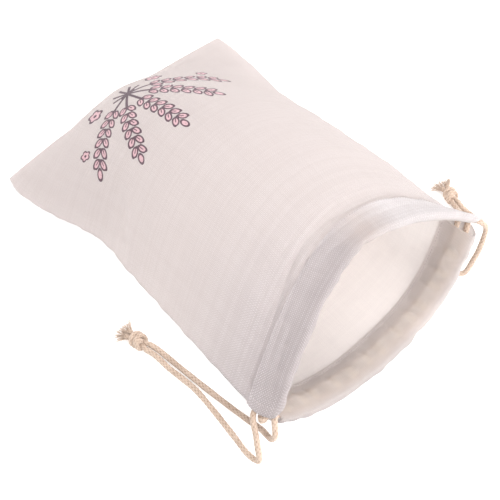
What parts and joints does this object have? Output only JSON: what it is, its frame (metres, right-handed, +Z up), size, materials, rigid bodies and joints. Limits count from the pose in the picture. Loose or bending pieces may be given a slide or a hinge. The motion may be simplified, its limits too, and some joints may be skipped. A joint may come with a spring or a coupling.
{
  "type": "linen bread bag",
  "caption": "Drawstring bread bag in off-white linen, lying on its back with its wide mouth open and its knotted cotton cords loose beside it.",
  "frame": {"origin": "on the resting surface, under the middle of the back panel", "axes": "+Y from the open mouth to the closed bottom of the bag, +Z up from the surface it lies on, +X across the bag, to the right when looking from the mouth to the bottom"},
  "size_m": [0.3665, 0.4273, 0.0983],
  "materials": {
    "linen": "matte woven linen, off-white",
    "cotton": "matte braided cotton, natural beige"
  },
  "bodies": {
    "root": {"front_panel": "linen", "back_panel": "linen", "left_drawstring": "cotton", "right_drawstring": "cotton", "left_knot": "cotton", "right_knot": "cotton"}
  },
  "joints": []
}
